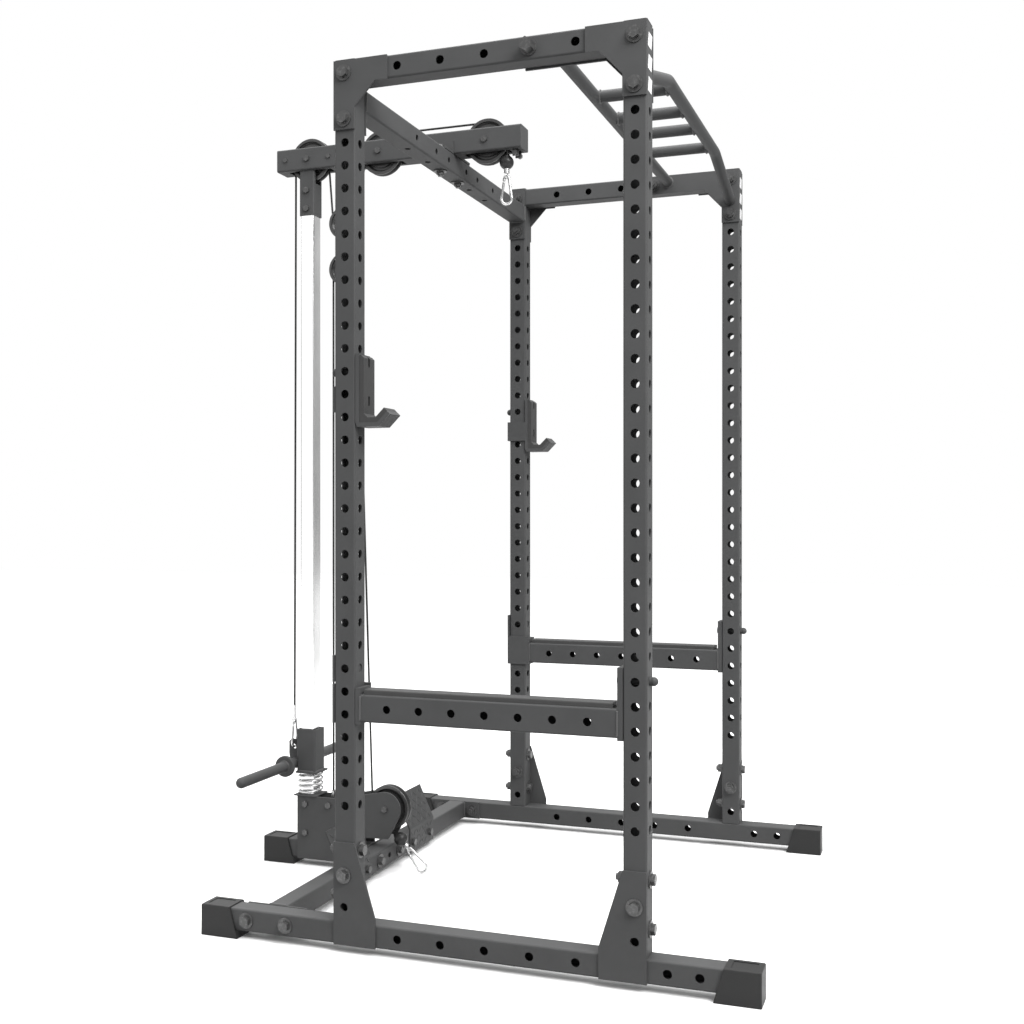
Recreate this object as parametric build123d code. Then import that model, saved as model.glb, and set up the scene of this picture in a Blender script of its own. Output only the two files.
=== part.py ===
from build123d import *
import math
import os

# Power cage with a plate-loaded lat and low-row tower. Millimetres, +Z up.
# X is the width, -Y the front (pull-up bars), +Y the rear (cable tower).
# The origin is on the floor, under the centre of the footprint.

# ---- driving dimensions -------------------------------------------------
TUBE = 50.0            # square frame tube
WALL = 3.0
CORNER = 4.5           # outside corner radius of the tube
SIDE_X = 568.0         # centre plane of each side frame
BAY_DEPTH = 650.0      # front upright centre to rear upright centre
HEIGHT = 1948.0        # top of the uprights
RAIL_LOW = 17.0        # underside of the floor rails
FRONT_TOE = 253.0      # rail end ahead of the front upright centre
REAR_HEEL = 363.0      # rail end behind the rear upright centre
TOWER_REACH = 542.0    # tower foot end behind the rear upright centre
PLATE = 5.0            # corner and gusset plates

HOLE_R = 9.5           # uprights and rails
HOLE_PITCH = 50.0
FIRST_HOLE = 320.0
HOLE_ROWS = 30
BOLT_R = 7.0           # M14 frame bolts
WASHER_R = 17.5

# cable system, placed by S, the distance behind the rear upright centre
CABLE_R = 2.7
WHEEL_R, WHEEL_RUN = 59.0, 50.5        # rim, and cable centre line
FLOAT_R, FLOAT_RUN = 44.0, 36.0
WHEEL_HALF = 11.0
AXLE_R = 5.0
ARM_TOP, ARM_HALF = 1958.0, 30.0
ARM_FRONT_S, ARM_REAR_S = -210.0, 500.0
AXLE_Z = 1928.0
FRONT_WHEEL_S, MID_WHEEL_S, REAR_WHEEL_S = -111.0, 193.0, 407.4
FLOAT_S, FLOAT_HIGH_Z, FLOAT_LOW_Z = 306.0, 1749.0, 1624.0
LOW_WHEEL_S, LOW_WHEEL_Z = 173.0, 171.0
COLUMN_S, COLUMN = 412.0, 40.0
ANCHOR_S, ANCHOR_Z = 341.5, 168.0
CROSS_S = 198.0        # floor crossmember
LUG_S, LUG_Z = 462.0, 316.0
LAT_BALL_Z, ROW_BALL_S, ROW_BALL_Z = 1870.0, 139.5, 88.0
CARRIAGE_LOW, CARRIAGE_HIGH = 250.0, 369.0
SLEEVE_HALF = 28.0
SEAT_LOW, SEAT_TOP = 188.0, 191.0      # spring seat on the tower cheeks
SPRING_WIRE, SPRING_R = 2.75, 32.0
SPRING_PITCH, SPRING_TURNS = 14.1, 4.1
HORN_Z, HORN_R, HORN_END = 273.0, 14.0, 298.0
COLLAR_X, COLLAR_R, COLLAR_THICK = 71.0, 28.5, 11.0

COLUMN_BOLTS = [89.0, 167.0]           # through the cheeks
SLEEVE_BOLTS = [1793.0, 1843.0]        # through the sleeve at the column's head

# pull-up bars
GRIP_R, RUNG_R, GRIP_Z, GRIP_DEPTH = 14.5, 14.0, 1928.0, 182.5
GRIP_LOW_Z, GRIP_BEND_X = 1858.0, 290.0    # where the front bar ends and bends
RUNGS = [-238.0, -71.0, 71.0, 238.0]

# attachments
GAP = 0.4              # room between an attachment and the upright it wraps
HOOK_FLOOR = 1148.0    # underside of the cradle
HOOK_TOP = 1307.0
HOOK_STEEL, HOOK_LINER = 9.0, 11.0
HOOK_REACH = 82.5      # from the upright to the lip
HOOK_LIP = 26.0        # height of the 45 degree lip
BAR_LOW, BAR_HIGH = 505.0, 565.0
HOOK_PIN_Z = 1270.0
SAFETY_PIN_Z = 620.0
PIN_R = 8.75

# ---- derived ------------------------------------------------------------
RAIL_TOP = RAIL_LOW + TUBE
RAIL_MID = RAIL_LOW + TUBE / 2
HALF = TUBE / 2
LENGTH = FRONT_TOE + BAY_DEPTH + TOWER_REACH
FRONT_Y = -LENGTH / 2 + FRONT_TOE
REAR_Y = FRONT_Y + BAY_DEPTH
MID_Y = (FRONT_Y + REAR_Y) / 2
BEAM_LOW = HEIGHT - TUBE
INNER_X, OUTER_X = SIDE_X - HALF, SIDE_X + HALF
ROWS = [FIRST_HOLE + HOLE_PITCH * i for i in range(HOLE_ROWS)]
CORNER_BOLTS = [1820.0, 1920.0]
FOOT_BOLT, FOOT_HOLE = 170.0, 100.0
FACE_BOLTS = [120.0, 220.0]
COLUMN_Y = REAR_Y + COLUMN_S
ARM_GUARDS = [REAR_WHEEL_S - 65.5, REAR_WHEEL_S + 65.5]
CHEEK_BOLTS = [(COLUMN_S, COLUMN_BOLTS[0]), (COLUMN_S, COLUMN_BOLTS[1]),
               (ANCHOR_S, ANCHOR_Z), (ANCHOR_S - 8, 98.0)]
GRIP_BACK_Y = FRONT_Y + GRIP_DEPTH
SIDES = [(-1, "left"), (1, "right")]
ENDS = [(FRONT_Y, -1, "front"), (REAR_Y, 1, "rear")]


def s_to_y(s):
    return REAR_Y + s


# ---- shape helpers --------------------------------------------------------
def box(x, y, z):
    """A box from three (low, high) pairs."""
    size = [b - a for a, b in (x, y, z)]
    middle = [(a + b) / 2 for a, b in (x, y, z)]
    return Pos(*middle) * Box(*size)


def rod(axis, radius, start, end, a, b):
    """A cylinder along X, Y or Z; a and b are the other two coordinates in order."""
    spin = {"X": Rot(0, 90, 0), "Y": Rot(-90, 0, 0), "Z": Rot(0, 0, 0)}[axis]
    place = {"X": Pos(start, a, b), "Y": Pos(a, start, b), "Z": Pos(a, b, start)}[axis]
    bottom = (Align.CENTER, Align.CENTER, Align.MIN)
    return place * spin * Cylinder(radius, end - start, align=bottom)


def rod_between(radius, p, q):
    p, q = Vector(*p), Vector(*q)
    plane = Plane(origin=p, z_dir=q - p)
    return extrude(plane * Circle(radius), (q - p).length)


def mirrored(shape):
    return mirror(shape, Plane.YZ)


def both_sides(shape):
    return [shape, mirrored(shape)]


def square_tube(length, width=TUBE, depth=TUBE, wall=WALL, corner=CORNER):
    outside = RectangleRounded(width, depth, corner)
    inside = RectangleRounded(width - 2 * wall, depth - 2 * wall, max(corner - wall, 0.6))
    return extrude(outside - inside, length)


def tube_x(start, end, y, z, **size):
    return Pos(start, y, z) * Rot(0, 90, 0) * square_tube(end - start, **size)


def tube_y(start, end, x, z, **size):
    return Pos(x, start, z) * Rot(-90, 0, 0) * square_tube(end - start, **size)


def profile_x(points, x0, x1):
    """A plate with its outline in the YZ plane, from x0 to x1."""
    face = make_face(Plane.YZ * Polyline(*points, close=True))
    return Pos(x0, 0, 0) * extrude(face, x1 - x0, dir=(1, 0, 0))


def tangent(c1, r1, side1, c2, r2, side2):
    """Touch points of the straight run from circle 1 to circle 2, in the YZ plane.
    side is +1 where the circle lies on the left of the run, -1 on its right."""
    dy, dz = c2[0] - c1[0], c2[1] - c1[1]
    length = math.hypot(dy, dz)
    uy, uz = dy / length, dz / length
    along = (side2 * r2 - side1 * r1) / length
    across = math.sqrt(1 - along * along)
    ny = along * uy - across * uz
    nz = along * uz + across * uy
    first = (c1[0] - side1 * r1 * ny, c1[1] - side1 * r1 * nz)
    second = (c2[0] - side2 * r2 * ny, c2[1] - side2 * r2 * nz)
    return first, second


def arc_between(centre, p, q, turn):
    """Arc in the YZ plane round centre from p to q; turn +1 is anticlockwise."""
    a = math.atan2(p[1] - centre[1], p[0] - centre[0])
    b = math.atan2(q[1] - centre[1], q[0] - centre[0])
    sweep_angle = (b - a) * turn % (2 * math.pi)
    middle = a + turn * sweep_angle / 2
    radius = math.hypot(p[0] - centre[0], p[1] - centre[1])
    via = (centre[0] + radius * math.cos(middle), centre[1] + radius * math.sin(middle))
    return ThreePointArc(in_plane(p), in_plane(via), in_plane(q))


def in_plane(p):
    return (0, p[0], p[1])


def swept(edges, radius):
    path = Wire(edges)
    start = Plane(origin=path @ 0, z_dir=path % 0)
    return sweep(start * Circle(radius), path=path)


# ---- frame ------------------------------------------------------------------
def upright(x, y):
    tube = Pos(x, y, RAIL_TOP) * square_tube(HEIGHT - RAIL_TOP)
    reach = TUBE
    cuts = []
    for z in ROWS + CORNER_BOLTS + [FOOT_BOLT, FOOT_HOLE]:
        cuts.append(rod("X", HOLE_R, x - reach, x + reach, y, z))
    for z in ROWS + FACE_BOLTS:
        cuts.append(rod("Y", HOLE_R, y - reach, y + reach, x, z))
    return tube - cuts


def base_rail(x):
    start, end = FRONT_Y - FRONT_TOE + PLATE, REAR_Y + REAR_HEEL - PLATE
    tube = tube_y(start, end, x, RAIL_MID)
    places = [MID_Y + 100.0 * i for i in range(-2, 3)]
    places += [FRONT_Y - 66.0, FRONT_Y - 131.0]
    places += [s_to_y(CROSS_S - 50), s_to_y(CROSS_S + 50)]
    return tube - [rod("X", HOLE_R, x - TUBE, x + TUBE, y, RAIL_MID) for y in places]


def foot_cap(x, end_y, outward):
    """Slanted plastic shoe over a rail end, with a shallow panel on its top."""
    low, high, wide = 95.0, 74.0, 31.0
    points = [(0, 0), (-low, 0), (-high, 70.0), (0, 70.0)]
    body = profile_x([(end_y + outward * p[0], p[1]) for p in points], -wide, wide)
    body = fillet(body.edges().filter_by(GeomType.LINE).filter_by(
        lambda e: e.center().Z > 5 and abs(e.center().Y - (end_y - outward * high)) > 14), 3.5)
    tube_end = end_y - outward * PLATE
    inner = end_y - outward * 150.0
    block = extrude(RectangleRounded(TUBE, TUBE, CORNER), 145.0)
    block = Pos(0, min(tube_end, inner), RAIL_MID) * Rot(-90, 0, 0) * block
    panel_y = sorted([end_y - outward * 12.0, end_y - outward * 62.0])
    panel = box((-19, 19), panel_y, (68.6, 75))
    return Pos(x, 0, 0) * (body - block - panel)


def foot_caps():
    caps = []
    for side, _ in SIDES:
        caps.append(foot_cap(side * SIDE_X, FRONT_Y - FRONT_TOE, -1))
        caps.append(foot_cap(side * SIDE_X, REAR_Y + REAR_HEEL, 1))
    caps.append(foot_cap(0, s_to_y(TOWER_REACH), 1))
    return caps


def top_beam(x):
    tube = tube_y(FRONT_Y + HALF, REAR_Y - HALF, x, BEAM_LOW + HALF)
    places = [MID_Y + 100.0 * i for i in range(-2, 3)]
    return tube - [rod("X", HOLE_R, x - TUBE, x + TUBE, y, BEAM_LOW + HALF) for y in places]


def corner_outline(y, inward, reach, edge):
    """L plate with a 45 degree web: edge is its lower edge along the beam."""
    def at(d):
        return y + inward * d
    return [(at(-HALF), HEIGHT), (at(reach), HEIGHT), (at(reach), edge),
            (at(HALF + 49), edge), (at(HALF), edge - 52), (at(HALF), 1797.0),
            (at(-HALF), 1797.0)]


def corner_plate(y, outward):
    plate = profile_x(corner_outline(y, -outward, 103.0, 1896.0), OUTER_X, OUTER_X + PLATE)
    return plate - [rod("X", HOLE_R, OUTER_X - 5, OUTER_X + 15, y, z) for z in CORNER_BOLTS]


def corner_plates():
    plates = []
    for y, outward, _ in ENDS:
        plates += both_sides(corner_plate(y, outward))
    return plates


def grip_side_plates():
    outline = corner_outline(FRONT_Y, 1, 250.0, 1895.0)
    plate = profile_x(outline, INNER_X - PLATE, INNER_X)
    holes = [(FRONT_Y, z) for z in CORNER_BOLTS] + [(MID_Y - 100.0, BEAM_LOW + HALF)]
    plate -= [rod("X", HOLE_R, INNER_X - 15, INNER_X + 5, y, z) for y, z in holes]
    return both_sides(plate)


def foot_gussets():
    gussets = []
    for y, outward, _ in ENDS:
        outline = [(y + outward * HALF, RAIL_LOW), (y - outward * 75, RAIL_LOW),
                   (y - outward * 75, 82.0), (y - outward * HALF, 241.0),
                   (y + outward * HALF, 241.0)]
        plate = profile_x(outline, OUTER_X, OUTER_X + PLATE)
        for z in (FOOT_BOLT, FOOT_HOLE):
            plate -= rod("X", HOLE_R, OUTER_X - 5, OUTER_X + 15, y, z)
        gussets += both_sides(plate)
    return gussets


def rear_top_crossmember():
    end = INNER_X - PLATE
    z = BEAM_LOW - HALF
    tube = tube_x(-end, end, REAR_Y, z)
    for x in (60.0, 142.0, 262.0):
        for side, _ in SIDES:
            tube -= rod("Y", 7.5, REAR_Y - TUBE, REAR_Y + TUBE, side * x, z)
            tube -= rod("Z", 7.5, z - TUBE, z + TUBE, side * x, REAR_Y)
    plate = box((end, INNER_X), (REAR_Y - HALF, REAR_Y + HALF), (1797.0, HEIGHT))
    plate -= [rod("X", HOLE_R, end - 5, INNER_X + 5, REAR_Y, z) for z in CORNER_BOLTS]
    return [tube] + both_sides(plate)


def floor_crossmember():
    end, y = INNER_X - PLATE, s_to_y(CROSS_S)
    tube = tube_x(-end, end, y, RAIL_MID)
    for x in (-257.0, -142.0, -60.0, 0.0, 60.0, 142.0, 257.0):
        tube -= rod("Y", 7.5, y - TUBE, y + TUBE, x, RAIL_MID)
    plate = box((end, INNER_X), (y - 75, y + 75), (RAIL_LOW, RAIL_TOP))
    plate -= [rod("X", HOLE_R, end - 5, INNER_X + 5, y + d, RAIL_MID) for d in (-50, 50)]
    return [tube] + both_sides(plate)


def grip_rails():
    end, bend = INNER_X - PLATE, GRIP_BEND_X
    back = rod("X", GRIP_R, -end, end, GRIP_BACK_Y, GRIP_Z)
    points = [(-end, FRONT_Y, GRIP_LOW_Z), (-bend, FRONT_Y, GRIP_Z),
              (bend, FRONT_Y, GRIP_Z), (end, FRONT_Y, GRIP_LOW_Z)]
    path = FilletPolyline(*points, radius=90)
    wire = Wire(path.edges())
    front = sweep(Plane(origin=wire @ 0, z_dir=wire % 0) * Circle(GRIP_R), path=wire)
    side_room = box((-end, end), (FRONT_Y - 40, FRONT_Y + 40), (1750, HEIGHT))
    return [back, front & side_room]


def grip_rungs():
    """Rungs a little thinner than the rails, coped to fit round them."""
    rungs = []
    for x in RUNGS:
        rung = rod("Y", RUNG_R, FRONT_Y, GRIP_BACK_Y, x, GRIP_Z)
        for y in (FRONT_Y, GRIP_BACK_Y):
            rung -= rod("X", GRIP_R, x - TUBE, x + TUBE, y, GRIP_Z)
        rungs.append(rung)
    return rungs


def end_plugs():
    plugs = []
    for y, _, _ in ENDS:
        inside = TUBE - 2 * WALL
        stub = extrude(RectangleRounded(inside, inside, 1.5), 14)
        lid = extrude(RectangleRounded(TUBE, TUBE, CORNER), 3)
        plug = Pos(SIDE_X, y, HEIGHT - 14) * stub + Pos(SIDE_X, y, HEIGHT) * lid
        plugs += both_sides(plug)
    return plugs


# ---- fasteners ----------------------------------------------------------------
def hexagon(across, height):
    return extrude(RegularPolygon(across / math.sqrt(3), 6), height)


def bolt(length, across=21.0, radius=BOLT_R, head=9.0, nut=12.0, tail=5.0, washers=True):
    """Bolt along +Z, clamping from z = 0 to z = length; the head is below zero."""
    t = 3.0 if washers else 0.0
    shape = Pos(0, 0, -t - head) * hexagon(across, head)
    shape += Pos(0, 0, -t) * Cylinder(radius, length + 2 * t + nut + tail, align=(
        Align.CENTER, Align.CENTER, Align.MIN))
    shape += Pos(0, 0, length + t) * hexagon(across, nut)
    if not washers:
        return [shape]
    ring = extrude(Circle(WASHER_R) - Circle(radius), t)
    return [shape, Pos(0, 0, -t) * ring, Pos(0, 0, length) * ring]


def along_x(shapes, x, y, z, direction=1):
    turn = Rot(0, 90 * direction, 0)
    return [Pos(x, y, z) * turn * s for s in shapes]


def along_y(shapes, x, y, z, direction=1):
    turn = Rot(-90 * direction, 0, 0)
    return [Pos(x, y, z) * turn * s for s in shapes]


def frame_bolts():
    found = []
    plated = TUBE + 2 * PLATE
    for y, outward, _ in ENDS:
        for z in CORNER_BOLTS:
            found += along_x(bolt(plated), -OUTER_X - PLATE, y, z)
        found += along_x(bolt(TUBE + PLATE), -OUTER_X - PLATE, y, FOOT_BOLT)
        for z in FACE_BOLTS:
            found += along_y(bolt(TUBE), -SIDE_X, y - HALF, z)
    # the stub bolts that hold the grip plates carry a tall cap nut outside
    found += along_x(bolt(TUBE + PLATE, across=25.0, head=24.0), -OUTER_X,
                     MID_Y - 100.0, BEAM_LOW + HALF)
    for d in (-50, 50):
        found += along_x(bolt(TUBE + PLATE), -OUTER_X, s_to_y(CROSS_S + d), RAIL_MID)
    found += [mirrored(s) for s in found]
    front = s_to_y(CROSS_S) - HALF
    for side, _ in SIDES:
        found += along_y(bolt(TUBE + PLATE, radius=6.0, across=19.0), side * 60.0, front, RAIL_MID)
        for x in (142.0, 257.0):
            found += along_y(bolt(TUBE + 4, radius=6.0, across=17.0, washers=False),
                             side * x, front - 4, RAIL_MID)
        clamp = bolt(TUBE + 6, radius=6.0, across=17.0, head=8.0, nut=8.0, tail=4.0)
        found += [Pos(side * 60.0, REAR_Y, ARM_TOP - 2 * ARM_HALF + 6) * Rot(180, 0, 0) * s
                  for s in clamp]
    return found


# ---- lat tower ------------------------------------------------------------------
def lat_arm():
    low = ARM_TOP - 2 * ARM_HALF
    start, end = s_to_y(ARM_FRONT_S), s_to_y(ARM_REAR_S)
    wide = 2 * ARM_HALF
    arm = tube_y(start, end, 0, low + ARM_HALF, width=wide, depth=wide)
    for y in (start, end - WALL):
        lid = extrude(RectangleRounded(wide, wide, CORNER), WALL)
        arm += Pos(0, y, low + ARM_HALF) * Rot(-90, 0, 0) * lid
    for s in (FRONT_WHEEL_S, MID_WHEEL_S, REAR_WHEEL_S):
        slot = box((-14, 14), (s_to_y(s - 64), s_to_y(s + 64)), (low - 5, ARM_TOP + 5))
        arm -= slot
        arm -= rod("X", AXLE_R, -40, 40, s_to_y(s), AXLE_Z)
    for s in ARM_GUARDS:
        arm -= rod("X", 4.0, -40, 40, s_to_y(s), AXLE_Z)
    ears = []
    for side, _ in SIDES:
        x = sorted([side * ARM_HALF, side * 85.0])
        ear = box(x, (REAR_Y - HALF, REAR_Y + HALF), (low, low + 6))
        ear -= rod("Z", 7.0, low - 5, low + 15, side * 60.0, REAR_Y)
        rib_x = sorted([side * ARM_HALF, side * (ARM_HALF + 5)])
        ears.append(ear + box(rib_x, (REAR_Y - HALF, REAR_Y + HALF), (low + 6, low + 34)))
    return [arm] + ears


def guide_column():
    return Pos(0, COLUMN_Y, RAIL_TOP) * square_tube(
        1860.0 - RAIL_TOP, width=COLUMN, depth=COLUMN, wall=2.5, corner=3.5) - [
        rod("X", AXLE_R, -40, 40, COLUMN_Y, z) for z in COLUMN_BOLTS + SLEEVE_BOLTS]


def column_sleeve():
    top = ARM_TOP - 2 * ARM_HALF
    outside = RectangleRounded(46, 46, 5)
    inside = RectangleRounded(COLUMN, COLUMN, 3.5)
    sleeve = Pos(0, COLUMN_Y, 1775.0) * extrude(outside - inside, top - 1775.0)
    sleeve -= box((-14, 14), (COLUMN_Y - 40, COLUMN_Y + 40), (1862, top + 5))
    return sleeve - [rod("X", AXLE_R, -40, 40, COLUMN_Y, z) for z in SLEEVE_BOLTS]


def buffer_spring():
    """Coil between the tower seat and the carriage, its ends ground flat."""
    path = Helix(pitch=SPRING_PITCH, height=SPRING_PITCH * SPRING_TURNS, radius=SPRING_R)
    start = Plane(origin=path @ 0, z_dir=path % 0)
    coil = sweep(start * Circle(SPRING_WIRE), path=path, is_frenet=True)
    coil = Pos(0, COLUMN_Y, SEAT_TOP + SPRING_WIRE / 2) * coil
    reach = SPRING_R + 10
    room = box((-reach, reach), (COLUMN_Y - reach, COLUMN_Y + reach),
               (SEAT_TOP, CARRIAGE_LOW))
    return coil & room


def tower_base():
    back = s_to_y(CROSS_S) + HALF
    flange = box((-85, 85), (back, back + PLATE), (RAIL_LOW, RAIL_TOP))
    for side, _ in SIDES:
        flange -= rod("Y", 7.0, back - 5, back + 15, side * 60.0, RAIL_MID)
    beam = tube_y(back + PLATE, s_to_y(TOWER_REACH) - PLATE, 0, RAIL_MID)
    return [flange, beam]


def tower_side_plates():
    """Side cheeks: a deep block round the column, reaching forward to the low wheel."""
    rear, front, top = s_to_y(437.0), s_to_y(231.0), SEAT_LOW
    neck = s_to_y(320.0)
    centre, radius = (s_to_y(LOW_WHEEL_S), LOW_WHEEL_Z), 45.0
    upper = tangent((neck, top), 0, 1, centre, radius, 1)[1]
    chin = (s_to_y(163.0), 92.0)
    lower = tangent(centre, radius, 1, chin, 0, 1)[0]
    outline = [
        Polyline(in_plane(chin), in_plane((front, 90.0)), in_plane((front, RAIL_LOW)),
                 in_plane((rear, RAIL_LOW)), in_plane((rear, top)), in_plane((neck, top)),
                 in_plane(upper)),
        arc_between(centre, upper, lower, 1),
        Line(in_plane(lower), in_plane(chin)),
    ]
    face = make_face(Wire([e for curve in outline for e in curve.edges()]))
    cheek = extrude(face, PLATE, dir=(1, 0, 0))
    cheek = Pos(HALF, 0, 0) * cheek
    for s, z in CHEEK_BOLTS + [(LOW_WHEEL_S, LOW_WHEEL_Z)]:
        cheek -= rod("X", AXLE_R, 10, 40, s_to_y(s), z)
    seat = box((-34, 34), (COLUMN_Y - 34, COLUMN_Y + 34), (top, SEAT_TOP))
    seat -= Pos(0, COLUMN_Y, top - 2) * extrude(RectangleRounded(COLUMN, COLUMN, 3.5), 8)
    return both_sides(cheek) + [seat]


def cross_bolt(half, s, z, shoulder=None):
    """Small bolt along X through both walls, with a step up to the wheel if wanted."""
    y = s_to_y(s)
    shape = rod("X", AXLE_R, -half - 2, half + 9, y, z)
    for x, size, height in ((-half - 6.0, 15.0, 6.0), (half, 15.0, 7.0)):
        shape += Pos(x, y, z) * Rot(0, 90, 0) * hexagon(size, height)
    if shoulder:
        for side, _ in SIDES:
            x0, x1 = sorted([side * (WHEEL_HALF + 0.5), side * shoulder])
            shape += rod("X", 8.0, x0, x1, y, z)
    return shape


def tower_bolts():
    found = [cross_bolt(HALF + PLATE, s, z) for s, z in CHEEK_BOLTS]
    found.append(cross_bolt(HALF + PLATE, LOW_WHEEL_S, LOW_WHEEL_Z, shoulder=HALF))
    for s in (FRONT_WHEEL_S, MID_WHEEL_S, REAR_WHEEL_S):
        found.append(cross_bolt(ARM_HALF, s, AXLE_Z, shoulder=ARM_HALF - WALL))
    found += [cross_bolt(23.0, COLUMN_S, z) for z in SLEEVE_BOLTS]
    for s in ARM_GUARDS:
        pin = rod("X", 4.0, -ARM_HALF, ARM_HALF, s_to_y(s), AXLE_Z)
        for x in (-ARM_HALF - 4, ARM_HALF):
            pin += Pos(x, s_to_y(s), AXLE_Z) * Rot(0, 90, 0) * hexagon(11.0, 4.0)
        found.append(pin)
    # spacers keep the column in the middle of the cheeks
    for z in COLUMN_BOLTS:
        ring = extrude(Circle(11) - Circle(AXLE_R), HALF - COLUMN / 2)
        for side, _ in SIDES:
            x = min(side * COLUMN / 2, side * HALF)
            found.append(Pos(x, COLUMN_Y, z) * Rot(0, 90, 0) * ring)
    return found


def cable_stop():
    """Two ears under the arm's nose with a cross pin that the ball stop meets."""
    low, y = ARM_TOP - 2 * ARM_HALF, s_to_y(-190.0)
    z = low - 9.0
    ears = box((10, 13), (y - 8, y + 8), (low - 16, low))
    ears += mirrored(ears)
    pin = rod("X", 4.0, -17, 20, y, z) + Pos(13, y, z) * Rot(0, 90, 0) * hexagon(13.0, 12.0)
    pin += Pos(-19, y, z) * Rot(0, 90, 0) * hexagon(13.0, 6.0)
    return [ears + pin]


def foot_plates():
    """Tread plates: bolted flat to the crossmember, then leaning back."""
    front = s_to_y(CROSS_S) - HALF
    thick, bend_z, top_z, lean = 4.0, 78.0, 169.0, 42.0
    outline = [(front, 15.0), (front, bend_z), (front + lean, top_z),
               (front + lean - 3.6, top_z + 1.7), (front - thick, bend_z + 0.9),
               (front - thick, 15.0)]
    plate = profile_x(outline, 126.0, 286.0)
    for x in (142.0, 257.0):
        plate -= rod("Y", 6.0, front - 15, front + 5, x, RAIL_MID)
    return both_sides(plate)


# ---- wheels and the floating block ------------------------------------------------
def wheel(s, z, rim=WHEEL_R, run=WHEEL_RUN):
    """Grooved cable wheel, turned about X, with recessed faces and a bearing bore."""
    root = run - CABLE_R - 0.35
    half = [(AXLE_R + 0.05, WHEEL_HALF), (17, WHEEL_HALF), (17, 8.0), (root - 8, 8.0),
            (root - 7, 3.2), (root - 2, 3.2), (root + 3, 6.6), (root + 3.5, WHEEL_HALF),
            (rim - 0.8, WHEEL_HALF), (rim, WHEEL_HALF - 0.8), (rim, 7.6), (root, 3.5)]
    points = half + [(r, -x) for r, x in reversed(half)]
    face = make_face(Plane.XZ * Polyline(*points, close=True))
    body = revolve(face, Axis.Z)
    return Pos(0, s_to_y(s), z) * Rot(0, 90, 0) * body


def float_block():
    """Two link plates that carry both floating wheels, with their axle bolts."""
    y = s_to_y(FLOAT_S)
    plates = []
    for side, _ in SIDES:
        x0, x1 = sorted([side * 14.0, side * 18.0])
        link = box((x0, x1), (y - 18, y + 18), (FLOAT_LOW_Z, FLOAT_HIGH_Z))
        for z in (FLOAT_LOW_Z, FLOAT_HIGH_Z):
            link += rod("X", 18.0, x0, x1, y, z)
        link -= [rod("X", AXLE_R, -30, 30, y, z) for z in (FLOAT_LOW_Z, FLOAT_HIGH_Z)]
        plates.append(link)
    axles = [cross_bolt(18.0, FLOAT_S, z, shoulder=14.0) for z in (FLOAT_LOW_Z, FLOAT_HIGH_Z)]
    return plates + axles


# ---- cables -------------------------------------------------------------------------
def wheel_at(s, z):
    return (s_to_y(s), z)


REAR_WHEEL = wheel_at(REAR_WHEEL_S, AXLE_Z)
MID_WHEEL = wheel_at(MID_WHEEL_S, AXLE_Z)
FRONT_WHEEL = wheel_at(FRONT_WHEEL_S, AXLE_Z)
FLOAT_HIGH = wheel_at(FLOAT_S, FLOAT_HIGH_Z)
FLOAT_LOW = wheel_at(FLOAT_S, FLOAT_LOW_Z)
LOW_WHEEL = wheel_at(LOW_WHEEL_S, LOW_WHEEL_Z)
CRIMP = wheel_at(LUG_S, 430.0)
LAT_END = (s_to_y(FRONT_WHEEL_S) - WHEEL_RUN, LAT_BALL_Z + 23.0)
ANCHOR = wheel_at(ANCHOR_S, 203.0)
ROW_BALL = wheel_at(ROW_BALL_S, ROW_BALL_Z)

CARRIAGE_RUN = tangent(CRIMP, 0, 1, REAR_WHEEL, WHEEL_RUN, 1)
BLOCK_IN = tangent(REAR_WHEEL, WHEEL_RUN, 1, FLOAT_HIGH, FLOAT_RUN, -1)
BLOCK_OUT = tangent(FLOAT_HIGH, FLOAT_RUN, -1, MID_WHEEL, WHEEL_RUN, 1)
TOP_RUN = tangent(MID_WHEEL, WHEEL_RUN, 1, FRONT_WHEEL, WHEEL_RUN, 1)
LAT_RUN = ((LAT_END[0], AXLE_Z), LAT_END)
ANCHOR_RUN = tangent(ANCHOR, 0, 1, FLOAT_LOW, FLOAT_RUN, 1)
DOWN_RUN = tangent(FLOAT_LOW, FLOAT_RUN, 1, LOW_WHEEL, WHEEL_RUN, -1)
ROW_RUN = tangent(LOW_WHEEL, WHEEL_RUN, -1, ROW_BALL, 0, -1)
ROW_AIM = math.degrees(math.atan2(ROW_RUN[1][1] - ROW_RUN[0][1],
                                  ROW_RUN[0][0] - ROW_RUN[1][0]))


def cable_run(run, shorten=0.0):
    p, q = run
    length = math.hypot(q[0] - p[0], q[1] - p[1])
    keep = 1 - shorten / length
    q = (p[0] + (q[0] - p[0]) * keep, p[1] + (q[1] - p[1]) * keep)
    return rod_between(CABLE_R, in_plane(p), in_plane(q))


def cable_fixed_turns():
    over_rear = swept([arc_between(REAR_WHEEL, CARRIAGE_RUN[1], BLOCK_IN[0], 1)], CABLE_R)
    over_top = swept([
        arc_between(MID_WHEEL, BLOCK_OUT[1], TOP_RUN[0], 1),
        Line(in_plane(TOP_RUN[0]), in_plane(TOP_RUN[1])),
        arc_between(FRONT_WHEEL, TOP_RUN[1], LAT_RUN[0], 1)], CABLE_R)
    under_low = swept([arc_between(LOW_WHEEL, DOWN_RUN[1], ROW_RUN[0], -1)], CABLE_R)
    return [over_rear, over_top, under_low]


def cable_block_turns():
    high = swept([arc_between(FLOAT_HIGH, BLOCK_IN[1], BLOCK_OUT[0], -1)], CABLE_R)
    low = swept([arc_between(FLOAT_LOW, ANCHOR_RUN[1], DOWN_RUN[0], 1)], CABLE_R)
    return [high, low]


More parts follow.
